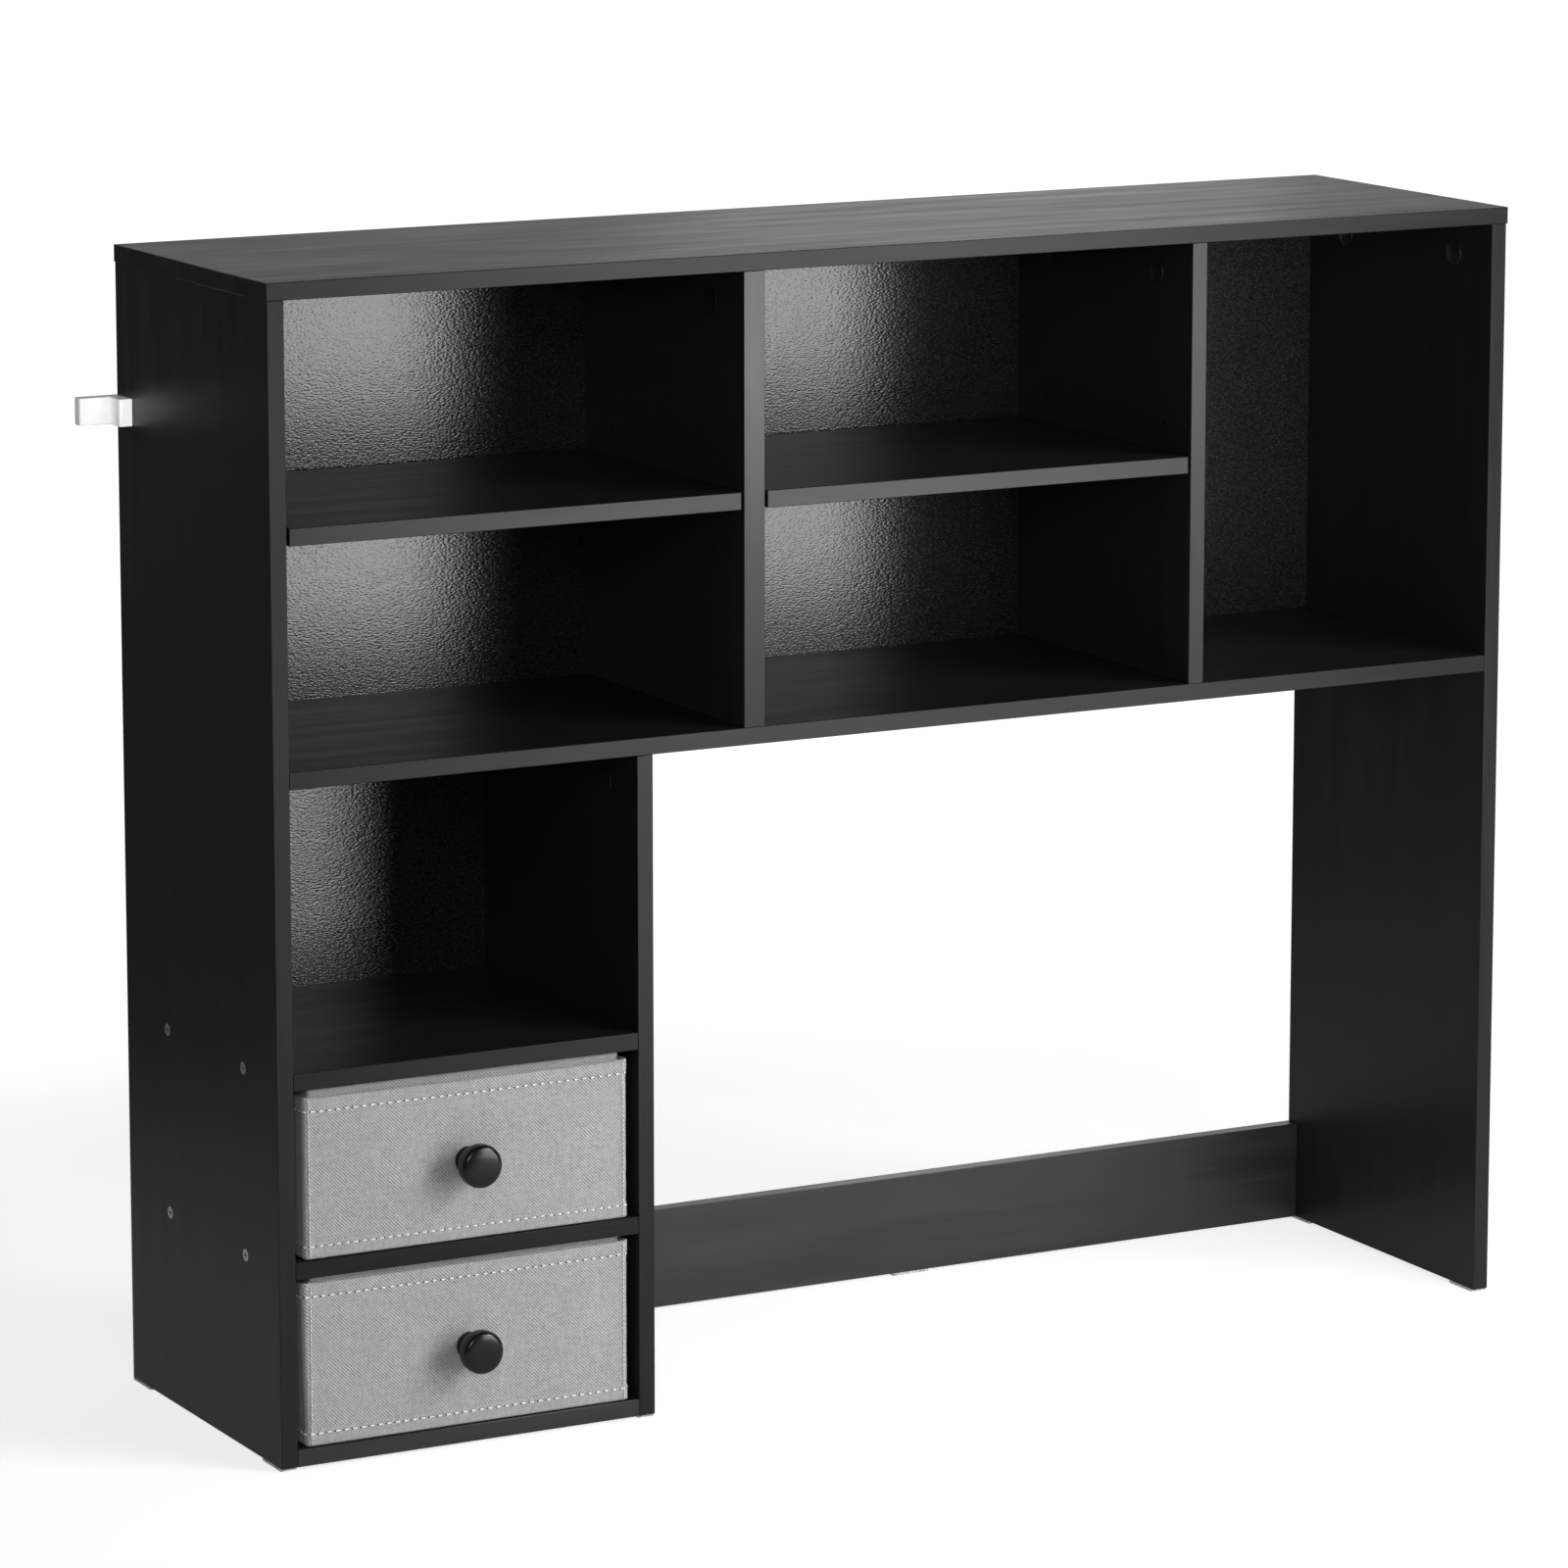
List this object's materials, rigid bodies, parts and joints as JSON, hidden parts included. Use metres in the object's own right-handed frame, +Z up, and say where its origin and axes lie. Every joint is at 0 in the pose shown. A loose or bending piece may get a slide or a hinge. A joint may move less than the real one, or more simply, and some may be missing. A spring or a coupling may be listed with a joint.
{
  "type": "desk hutch",
  "caption": "Black board hutch that stands on a desk: open bays with loose shelves over a wide monitor space, a column with grey fabric drawers, and wall brackets.",
  "frame": {"origin": "the middle of the footprint, on the desk plane under the foot pads", "axes": "+X to the right seen from the front, +Y to the back (wall), +Z up; the drawer column is at -X"},
  "size_m": [1.0308, 0.278, 0.8],
  "materials": {
    "black_board": "black melamine foil over particle board, satin with a fine grain",
    "back_board": "black embossed back panel, half gloss",
    "drawer_fabric": "mid grey woven twill",
    "lining_fabric": "grey lining cloth",
    "fibre_board": "brown fibre board",
    "knob_plastic": "black gloss",
    "zinc_steel": "zinc-plated steel",
    "cam_zinc": "die-cast zinc alloy",
    "black_plastic": "black matt",
    "white_plastic": "white, satin",
    "dowel_wood": "fluted beech",
    "pad_felt": "speckled light grey felt"
  },
  "bodies": {
    "cabinet": {"top_panel": "black_board", "left_side_panel": "black_board", "right_side_panel": "black_board", "mid_shelf": "black_board", "left_bay_divider": "black_board", "right_bay_divider": "black_board", "lower_divider": "black_board", "drawer_top_shelf": "black_board", "drawer_middle_shelf": "black_board", "bottom_board": "black_board", "back_stretcher": "black_board", "upper_back_panel": "back_board", "lower_back_panel": "back_board", "cam_locks": "cam_zinc", "cam_bolts": "zinc_steel", "cam_cover_caps": "black_plastic", "dowels": "dowel_wood", "shelf_screws": "zinc_steel", "divider_screws": "zinc_steel", "back_panel_screws": "zinc_steel", "left_shelf_pins": "zinc_steel", "middle_shelf_pins": "zinc_steel", "foot_pads": "pad_felt", "left_wall_bracket": "zinc_steel", "left_bracket_cover": "white_plastic", "right_wall_bracket": "zinc_steel", "right_bracket_cover": "white_plastic", "bracket_screws": "zinc_steel"},
    "left_shelf": {"left_adjustable_shelf": "black_board"},
    "middle_shelf": {"middle_adjustable_shelf": "black_board"},
    "upper_drawer": {"upper_drawer_shell": "drawer_fabric", "upper_drawer_wall_boards": "fibre_board", "upper_drawer_lining": "lining_fabric", "upper_drawer_base_board": "fibre_board", "upper_drawer_knob": "knob_plastic", "upper_drawer_knob_screw": "zinc_steel", "upper_drawer_knob_washer": "zinc_steel"},
    "lower_drawer": {"lower_drawer_shell": "drawer_fabric", "lower_drawer_wall_boards": "fibre_board", "lower_drawer_lining": "lining_fabric", "lower_drawer_base_board": "fibre_board", "lower_drawer_knob": "knob_plastic", "lower_drawer_knob_screw": "zinc_steel", "lower_drawer_knob_washer": "zinc_steel"}
  },
  "joints": [
    {"name": "upper_drawer_slide", "type": "slide", "parent": "cabinet", "child": "upper_drawer", "axis": [0, -1, 0], "range_m": [0, 0.2]},
    {"name": "lower_drawer_slide", "type": "slide", "parent": "cabinet", "child": "lower_drawer", "axis": [0, -1, 0], "range_m": [0, 0.2]},
    {"name": "left_shelf_slide", "type": "slide", "parent": "cabinet", "child": "left_shelf", "axis": [0, -1, 0], "range_m": [0, 0.18]},
    {"name": "middle_shelf_slide", "type": "slide", "parent": "cabinet", "child": "middle_shelf", "axis": [0, -1, 0], "range_m": [0, 0.18]}
  ]
}
